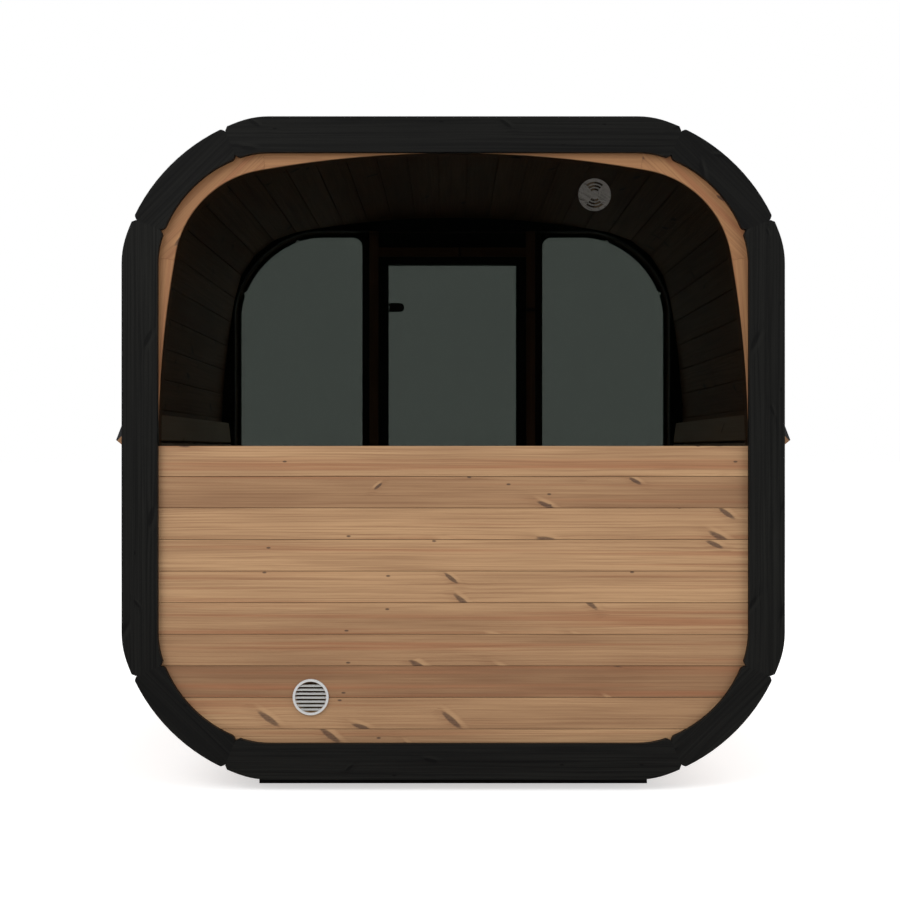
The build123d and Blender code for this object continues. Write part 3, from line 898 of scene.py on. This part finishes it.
def rounded_square(half: float, bow_radius: float, corner_radius: float,
                   steps: int = 24) -> list[tuple[float, float]]:
    """Outline of bowed sides and round corners, from the middle of the bottom.

    Args:
        half: Half of its width.
        bow_radius: Radius of the sides.
        corner_radius: Radius of the corners.
        steps: Points to each arc.

    Returns:
        Its points about the middle, X and Z.
    """
    drop = bow_radius - half
    reach = bow_radius - corner_radius
    middle = (math.sqrt(2 * reach ** 2 - drop ** 2) - drop) / 2
    lean = math.atan2(middle, middle + drop)
    side = [(bow_radius * math.sin(lean * (2 * i / steps - 1)),
             drop - bow_radius * math.cos(lean * (2 * i / steps - 1))) for i in range(steps)]
    turn = math.pi / 2 - 2 * lean
    corner = [(middle + corner_radius * math.sin(lean + turn * i / steps),
               -middle - corner_radius * math.cos(lean + turn * i / steps)) for i in range(steps)]
    quarter = side + corner
    points = []
    for _ in range(4):
        points += quarter
        quarter = [(-z, x) for x, z in quarter]
    return points[steps // 2:] + points[:steps // 2]


def ring_curve(name: str, outline: Sequence[tuple[float, float]], y: float) -> bpy.types.Object:
    """A closed curve on an outline in an upright plane, about the cabin's middle.

    Args:
        name: The object's name.
        outline: Its points, X and Z.
        y: The plane's place.

    Returns:
        The curve.
    """
    curve = bpy.data.curves.new(name, "CURVE")
    curve.dimensions = "3D"
    spline = curve.splines.new("POLY")
    spline.points.add(len(outline) - 1)
    for point, (x, z) in zip(spline.points, outline):
        point.co = (x, y, z + CENTRE_HEIGHT, 1.0)
    spline.use_cyclic_u = True
    return new_object(name, curve)


# ---- Sub-assemblies ----


@dataclass
class Shell:
    """Staves that run the length of the cabin."""

    half: float = 1.106
    bow_radius: float = 4.0
    corner_radius: float = 0.362
    thickness: float = 0.038
    length: float = 2.344
    staves: int = 67
    gap: float = 0.0012
    groove: float = 0.0014
    tongue_depths: tuple[float, float] = (0.013, 0.022)
    tongue_setback: float = 0.001
    nodes: tuple[str, ...] = ("shell_top", "shell_bottom", "shell_left", "shell_right",
                              "shell_corner_top_left", "shell_corner_top_right",
                              "shell_corner_bottom_left", "shell_corner_bottom_right")

    def build(self) -> bpy.types.Mesh:
        """Grows one stave on each length of the outline.

        Returns:
            The staves, square-edged.
        """
        tree = Builder("staves", {"Length": self.length, "Thickness": self.thickness, "Gap": self.gap},
                       {"Staves": self.staves})
        joints = tree.add("GeometryNodeResampleCurve",
                          {"Curve": tree.source, "Count": tree.size("Staves")})
        edges = tree.add("GeometryNodeCurveToMesh", {"Curve": joints})
        strip = tree.add("GeometryNodeExtrudeMesh",
                         {"Mesh": edges, "Offset": tree.vector(y=tree.size("Length"))}, mode="EDGES")
        place = tree.add("GeometryNodeInputPosition")
        spoke = tree.flattened(tree.arrows("SUBTRACT", place, (0.0, 0.0, CENTRE_HEIGHT)))
        normal = tree.add("GeometryNodeInputNormal")
        along_spoke = tree.arrows("DOT_PRODUCT", normal, spoke, output=1)
        outward = tree.arrows("NORMALIZE", tree.scaled(normal, along_spoke.math("SIGN", along_spoke)))
        kept = tree.add("GeometryNodeStoreNamedAttribute",
                        {"Geometry": strip, "Name": "outward", "Value": outward},
                        data_type="FLOAT_VECTOR", domain="POINT")
        quads = tree.add("GeometryNodeSplitEdges", {0: kept})
        middle = tree.add("GeometryNodeFieldOnDomain", {0: place}, domain="FACE",
                          data_type="FLOAT_VECTOR")
        inward = tree.arrows("NORMALIZE", tree.flattened(tree.arrows("SUBTRACT", middle, place)))
        apart = tree.add("GeometryNodeSetPosition", {
            "Geometry": quads, "Offset": tree.scaled(inward, tree.size("Gap"))})
        raised = tree.add("GeometryNodeExtrudeMesh",
                          {"Mesh": apart, "Offset Scale": 0.0, "Individual": True}, mode="FACES")
        away = tree.add("GeometryNodeInputNamedAttribute", {"Name": "outward"},
                        data_type="FLOAT_VECTOR")
        outer = tree.add("GeometryNodeSetPosition", {
            "Geometry": raised, "Selection": raised.at("Top"),
            "Offset": tree.scaled(away, tree.size("Thickness"))})
        inner = tree.add("GeometryNodeFlipFaces", {0: apart})
        joined = tree.add("GeometryNodeJoinGeometry", {0: [outer, inner]})
        closed = tree.add("GeometryNodeMergeByDistance",
                          {"Geometry": joined, "Distance": self.gap / 6})
        outline = rounded_square(self.half, self.bow_radius, self.corner_radius)
        base = ring_curve("stave_line", outline, -self.length / 2)
        # The staves take the spruce with painted shade.
        return tree.grow(base, closed, PAINT.material(SHADED_SPRUCE))

    def add_tongues(self, work: bmesh.types.BMesh) -> None:
        """Closes the joints from stave to stave, deep in each groove.

        Args:
            work: The staves' mesh.
        """
        rings = []
        for depth in self.tongue_depths:
            outline = rounded_square(self.half + depth, self.bow_radius + depth,
                                     self.corner_radius + depth)
            for way in (-1, 1):
                end = way * (self.length / 2 - self.tongue_setback)
                rings.append([work.verts.new((x, end, z + CENTRE_HEIGHT)) for x, z in outline])
        inner_rear, inner_front, outer_rear, outer_front = rings
        count = len(inner_rear)
        for first, second in ((inner_rear, inner_front), (outer_front, outer_rear),
                              (outer_rear, inner_rear), (inner_front, outer_front)):
            for i in range(count):
                j = (i + 1) % count
                work.faces.new((first[i], first[j], second[j], second[i]))

    def place(self) -> None:
        """Eases the staves, closes the grooves between them and sets them in the frame."""
        work = open_mesh(self.build())
        bmesh.ops.recalc_face_normals(work, faces=work.faces)
        ease(work, self.groove, 1)
        self.add_tongues(work)
        bmesh.ops.recalc_face_normals(work, faces=work.faces)
        shade(work)
        mesh = to_mesh(work, "shell_staves")
        lay_grain(mesh, "staves")
        place_piece("shell_staves", mesh, SHADED_SPRUCE, Body.CABIN, self.nodes)


@dataclass
class BoardedPart:
    """A CAD part that is sawn into boards of one width."""

    name: str
    node: str
    finish: Wood
    first: float
    step: float
    count: int
    along_x: bool = False
    kerf: float = 0.0014
    groove: float = 0.0018
    blank_length: float = 4.0
    tongue_share: float = 0.3
    tongue_end_share: float = 0.999

    def build(self) -> bpy.types.Mesh:
        """Cuts the part with a row of blanks.

        Returns:
            The boards, square-edged.
        """
        tree = Builder(f"{self.name}_saw",
                       {"First": self.first, "Step": self.step, "Kerf": self.kerf,
                        "Blank": self.blank_length}, {"Boards": self.count})
        step, long = tree.size("Step"), tree.size("Blank")
        place, width = tree.size("First") + step / 2, step - tree.size("Kerf")
        if self.along_x:
            start, offset, blank = tree.vector(x=place), tree.vector(x=step), tree.vector(width, long, long)
        else:
            start, offset, blank = tree.vector(z=place), tree.vector(z=step), tree.vector(long, long, width)
        row = tree.add("GeometryNodeMeshLine", {
            "Count": tree.size("Boards"), "Start Location": start, "Offset": offset})
        cube = tree.add("GeometryNodeMeshCube", {"Size": blank})
        blanks = tree.add("GeometryNodeInstanceOnPoints", {"Points": row, "Instance": cube})
        loose = tree.add("GeometryNodeRealizeInstances", {"Geometry": blanks})
        sawn = tree.add("GeometryNodeMeshBoolean", {1: [tree.source, loose]}, operation="INTERSECT")
        base = new_object(self.node + "_blank", to_mesh(solid_copy(self.node), self.node + "_blank"))
        return tree.grow(base, sawn, PAINT.material(self.finish))

    def tongues(self) -> bpy.types.Mesh:
        """A thin core of the part, which closes the joints between its boards.

        Returns:
            The core.
        """
        work = solid_copy(self.node)
        low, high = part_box(self.node)
        middle = (low + high) / 2
        shares = Vector((self.tongue_end_share,) * 3)
        shares[2 if self.along_x else 1] = self.tongue_share
        for vert in work.verts:
            vert.co = middle + (vert.co - middle) * shares
        shade(work)
        return to_mesh(work, f"{self.name}_tongues")

    def place(self) -> None:
        """Eases the boards, closes the joints between them and sets all in the frame."""
        work = whole_copy(self.build())
        ease(work, self.groove, 1)
        shade(work)
        mesh = to_mesh(work, self.name)
        lay_grain(mesh, self.name)
        place_piece(self.name, mesh, self.finish, Body.CABIN, [self.node])
        core = self.tongues()
        lay_grain(core, self.name)
        place_piece(f"{self.name}_tongues", core, self.finish, Body.CABIN)


@dataclass
class EasedPart:
    """CAD nodes that only need eased edges and a finish."""

    finish: Finish
    edge: float
    nodes: tuple[str, ...]
    body: Body = Body.CABIN

    def round_edges(self, work: bmesh.types.BMesh) -> None:
        """Eases the edges of a node's copy."""
        ease(work, self.edge)

    def place(self) -> None:
        """Sets a finished copy of each node in the frame."""
        for node in self.nodes:
            work = solid_copy(node)
            self.round_edges(work)
            shade(work)
            mesh = to_mesh(work, f"finished_{node}")
            if isinstance(self.finish, Wood):
                lay_grain(mesh, node)
            place_piece(f"finished_{node}", mesh, self.finish, self.body, [node])


@dataclass
class RingBoards(EasedPart):
    """Boards of the end rings, which meet flush and are rounded off at their corners."""

    apex: float = 0.573
    joint_angle: float = 22.5
    joint_slack: float = 0.0002
    corner: float = 0.0045
    corner_steps: int = 3
    corner_turn: float = 20.0
    least_thickness: float = 0.02

    def on_joint(self, edge: bmesh.types.BMEdge) -> bool:
        """Whether an edge lies in a plane where two boards meet."""
        lean = math.radians(self.joint_angle)
        for vert in edge.verts:
            near, wide = sorted((abs(vert.co.x), abs(vert.co.z - CENTRE_HEIGHT)))
            off = (near - self.apex) * math.cos(lean) - (wide - self.apex) * math.sin(lean)
            if abs(off) > self.joint_slack:
                return False
        return True

    def through(self, edge: bmesh.types.BMEdge) -> bool:
        """Whether an edge runs through the board's thickness."""
        return abs(edge.verts[0].co.y - edge.verts[1].co.y) > self.least_thickness

    def round_edges(self, work: bmesh.types.BMesh) -> None:
        """Rounds the corners of each board, and eases all but the joint itself."""
        ease(work, self.corner, self.corner_steps, self.corner_turn, self.through)
        ease(work, self.edge, chosen=lambda edge: not self.on_joint(edge))


@dataclass
class Fastening:
    """Round heads set in rows, such as nails."""

    name: str
    finish: Metal
    spots: Sequence[tuple[Point, Point]]
    radius: float
    height: float
    sides: int
    taper: float = 0.72
    body: Body = Body.CABIN

    def place(self) -> None:
        """Instances a low tapered head on each spot, turned to its direction."""
        mesh = bpy.data.meshes.new(self.name + "_spots")
        mesh.from_pydata([spot for spot, _ in self.spots], [], [])
        facing = [component for _, direction in self.spots for component in direction]
        mesh.attributes.new("facing", "FLOAT_VECTOR", "POINT").data.foreach_set("vector", facing)
        tree = Builder(self.name, {"Radius": self.radius, "Height": self.height}, {"Sides": self.sides})
        shank = tree.add("GeometryNodeMeshCone", {
            "Vertices": tree.size("Sides"), "Radius Bottom": tree.size("Radius"),
            "Radius Top": tree.size("Radius") * self.taper, "Depth": tree.size("Height")})
        away = tree.add("GeometryNodeInputNamedAttribute", {"Name": "facing"},
                        data_type="FLOAT_VECTOR")
        turn = tree.add("FunctionNodeAlignRotationToVector", {"Vector": away}, axis="Z")
        heads = tree.add("GeometryNodeInstanceOnPoints", {
            "Points": tree.add("GeometryNodeMeshToPoints", {"Mesh": tree.source}),
            "Instance": shank, "Rotation": turn})
        base = new_object(self.name + "_spots", mesh)
        place_piece(self.name, tree.grow(base, heads, PAINT.material(self.finish)), self.finish, self.body)


@dataclass
class RoofCover:
    """Felt over the top of the shell, with lapped sheets that are nailed along each lap."""

    node: str = "roof_felt"
    outer_half: float = 1.1485
    bow_radius: float = 4.0425
    corner_radius: float = 0.4045
    lap_ends: tuple[tuple[float, float], ...] = ((-0.44, -0.36), (0.40, 0.48))
    lap_rise: float = 0.0022
    outline_steps: int = 40
    nail_step: float = 0.075
    nail_inset: float = 0.014
    nail_start: float = 0.08
    nail_radius: float = 0.005
    nail_height: float = 0.0024
    nail_sides: int = 10

    def lap(self, low: float, high: float) -> bmesh.types.BMesh:
        """A band of the felt, lifted off it.

        Args:
            low: Where the band starts along the cabin.
            high: Where it ends.

        Returns:
            The band.
        """
        work = solid_copy(self.node)
        for y, way in ((low, -1.0), (high, 1.0)):
            parts = work.verts[:] + work.edges[:] + work.faces[:]
            cut = bmesh.ops.bisect_plane(work, geom=parts, plane_co=(0, y, 0), plane_no=(0, way, 0),
                                         clear_outer=True)
            rim = [e for e in cut["geom_cut"] if isinstance(e, bmesh.types.BMEdge)]
            bmesh.ops.contextual_create(work, geom=rim)
        growth = 1 + self.lap_rise / self.outer_half
        for vert in work.verts:
            vert.co.x *= growth
            vert.co.z = CENTRE_HEIGHT + (vert.co.z - CENTRE_HEIGHT) * growth
        return work

    def nail_spots(self) -> list[tuple[Point, Point]]:
        """Places of the nails along each lap, with the way that each faces."""
        half = self.outer_half + self.lap_rise
        outline = rounded_square(half, self.bow_radius, self.corner_radius, self.outline_steps)
        length, spots = 0.0, []
        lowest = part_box(self.node)[0].z - CENTRE_HEIGHT + self.nail_start
        for (x0, z0), (x1, z1) in zip(outline, outline[1:] + outline[:1]):
            run = math.hypot(x1 - x0, z1 - z0)
            length += run
            if length < self.nail_step or z0 < lowest:
                continue
            length -= self.nail_step
            out = ((z1 - z0) / run, 0.0, -(x1 - x0) / run)
            for low, _ in self.lap_ends:
                spots.append(((x0, low + self.nail_inset, z0 + CENTRE_HEIGHT), out))
        return spots

    def place(self) -> None:
        """Sets the felt, its laps and the nails in the frame."""
        work = solid_copy(self.node)
        for low, high in self.lap_ends:
            band = to_mesh(self.lap(low, high), "lap")
            work.from_mesh(band)
            bpy.data.meshes.remove(band)
        shade(work)
        place_piece("roofing_felt", to_mesh(work, "roofing_felt"), FELT, Body.CABIN, [self.node])
        Fastening("felt_nails", STEEL, self.nail_spots(), self.nail_radius, self.nail_height,
                  self.nail_sides).place()


@dataclass
class Untouched:
    """CAD nodes that keep their shape and take a finish."""

    finish: Finish
    nodes: tuple[str, ...]

    def place(self) -> None:
        """Gives each node its material."""
        for node in self.nodes:
            paint(frame["nodes"][node].data, self.finish)
            LOG.info("%s: kept, %s", node, self.finish.name)


# ---- Studio ----


@dataclass(frozen=True)
class Lamp:
    """A soft square lamp that points at the cabin."""

    name: str
    place: Point
    size: float
    power: float
    aim: Point = (0.0, 0.0, 1.0)

    def hang(self) -> None:
        """Puts the lamp up."""
        data = bpy.data.lights.new(self.name, "AREA")
        data.size, data.energy = self.size, self.power
        thing = new_object(self.name, data)
        thing.location = self.place
        way = Vector(self.aim) - Vector(self.place)
        thing.rotation_euler = way.to_track_quat("-Z", "Y").to_euler()


@dataclass
class Studio:
    """Camera, lights, floor and background."""

    eye: Point = (-0.0112, -7.119, 1.183)
    lens: float = 68.30
    sensor: float = 36.0
    sight: float = 500.0
    floor_half: float = 150.0
    floor_light: Colour = (0.78, 0.78, 0.78)
    floor_dark: Colour = (0.76, 0.76, 0.76)
    floor_grains: float = 60.0
    floor_contrast: float = 0.3
    floor_roughness: float = 0.8
    floor_glow: float = 0.55
    sky: float = 0.62
    lamps: tuple[Lamp, ...] = (Lamp("key", (-4.5, -7.5, 6.0), size=5.0, power=330.0),
                               Lamp("fill", (6.0, -5.0, 4.0), size=6.0, power=170.0),
                               Lamp("back", (2.0, 8.5, 6.0), size=6.0, power=330.0))

    def camera(self) -> None:
        """The photograph's viewpoint, level and square to the rear wall."""
        data = bpy.data.cameras.new("camera")
        data.lens, data.sensor_width, data.clip_end = self.lens, self.sensor, self.sight
        thing = new_object("camera", data)
        thing.location = self.eye
        thing.rotation_euler = (math.pi / 2, 0.0, 0.0)
        bpy.context.scene.camera = thing

    def background(self) -> None:
        """White where the camera or a reflection looks, softer for the light on the cabin."""
        world = bpy.data.worlds.new("studio")
        world.use_nodes = True
        bpy.context.scene.world = world
        tree = Tree(world.node_tree)
        path = tree.add("ShaderNodeLightPath", output="Is Camera Ray")
        mirrored = path.math("MAXIMUM", path.at("Is Glossy Ray"), path.at("Is Transmission Ray"))
        strength = path.math("MAXIMUM", path, mirrored) * (1 - self.sky) + self.sky
        light = tree.add("ShaderNodeBackground", {"Color": WHITE, "Strength": strength})
        tree.add("ShaderNodeOutputWorld", {"Surface": light})

    def floor(self) -> None:
        """A pale floor that is white to the camera and keeps the cabin's shadow."""
        work = bmesh.new()
        bmesh.ops.create_grid(work, x_segments=1, y_segments=1, size=self.floor_half)
        floor = new_object("studio_floor", to_mesh(work, "studio_floor"))
        tree = Shader("floor_paint")
        grain = tree.noise(tree.object_place(), self.floor_grains)
        pale = tree.mix(grain * self.floor_contrast, self.floor_light, self.floor_dark)
        matt = {"Base Color": pale, "Roughness": self.floor_roughness, "Specular IOR Level": 0.0}
        glow = {"Emission Color": WHITE, "Emission Strength": self.floor_glow}
        plain = tree.add("ShaderNodeBsdfPrincipled", matt)
        shown = tree.add("ShaderNodeBsdfPrincipled", {**matt, **glow})
        path = tree.add("ShaderNodeLightPath", output="Is Camera Ray")
        seen = tree.add("ShaderNodeMixShader", {0: path, 1: plain, 2: shown})
        tree.add("ShaderNodeOutputMaterial", {"Surface": seen})
        floor.data.materials.append(tree.material)

    def build(self) -> None:
        """Sets the studio up."""
        bpy.context.scene.view_settings.view_transform = "Standard"
        self.camera()
        self.background()
        for lamp in self.lamps:
            lamp.hang()
        self.floor()


@dataclass
class Cabin:
    """The whole cabin, from the parts above."""

    parts: list = field(default_factory=lambda: [
        Shell(),
        BoardedPart("rear_wall_boards", "rear_wall", SPRUCE, first=0.101, step=0.11, count=10),
        BoardedPart("front_panel_boards", "front_panels", SPRUCE, first=0.101, step=0.11, count=20),
        BoardedPart("floor_boards", "floor", SPRUCE, first=-1.045, step=0.095, count=22, along_x=True),
        RingBoards(STAIN, STAIN_EDGE, ("rear_ring_boards", "rear_ring_corners", "front_ring_boards",
                                       "front_ring_corners")),
        EasedPart(STAIN, STAIN_EDGE, ("facade_posts", "facade_transom", "door_jambs", "door_stops",
                                      "bearers", "threshold", "front_frame_sides",
                                      "front_frame_corners", "head_board")),
        EasedPart(SPRUCE, WOOD_EDGE, ("drip_strip_left", "drip_strip_right", "window_rails",
                                      "door_sill", "floor_joists", "wall_posts", "door_posts")),
        # These parts take the spruce with painted shade.
        EasedPart(SHADED_SPRUCE, WOOD_EDGE, ("rear_arch_sides", "rear_arch_corners",
                                           "rear_frame_sides", "rear_frame_corners",
                                           "front_arch_sides", "front_arch_corners", "head_strip")),
        EasedPart(ASPEN, BENCH_EDGE, ("bench_boards", "bench_beams", "bench_legs",
                                      "backrest_boards", "backrest_battens")),
        EasedPart(ASPEN, BENCH_EDGE, ("handle_bars",), Body.DOOR),
        # The vent shutter takes colours with painted light.
        EasedPart(SHUTTER, VENEER_EDGE, ("vent_shutter",)),
        RoofCover(),
        Untouched(REAR_GLASS, ("rear_window",)),
        Untouched(FRONT_GLASS, ("side_windows", "door_glass")),
        EasedPart(STEEL, METAL_EDGE, ("hinge_brackets",)),
        EasedPart(STEEL, METAL_EDGE, ("hinge_clamps", "handle_bolts"), Body.DOOR),
        EasedPart(SILVER, RIM_EDGE, ("wall_grille",)),
        # The vent plate takes colours with painted light.
        EasedPart(VENT_METAL, METAL_EDGE, ("vent_cover",)),
    ])

    def build(self) -> None:
        """Places every part."""
        for part in self.parts:
            part.place()


def main() -> None:
    """Builds the studio and the cabin."""
    logging.basicConfig(level=logging.INFO, format="%(message)s")
    Studio().build()
    Cabin().build()


if __name__ == "__main__":
    main()
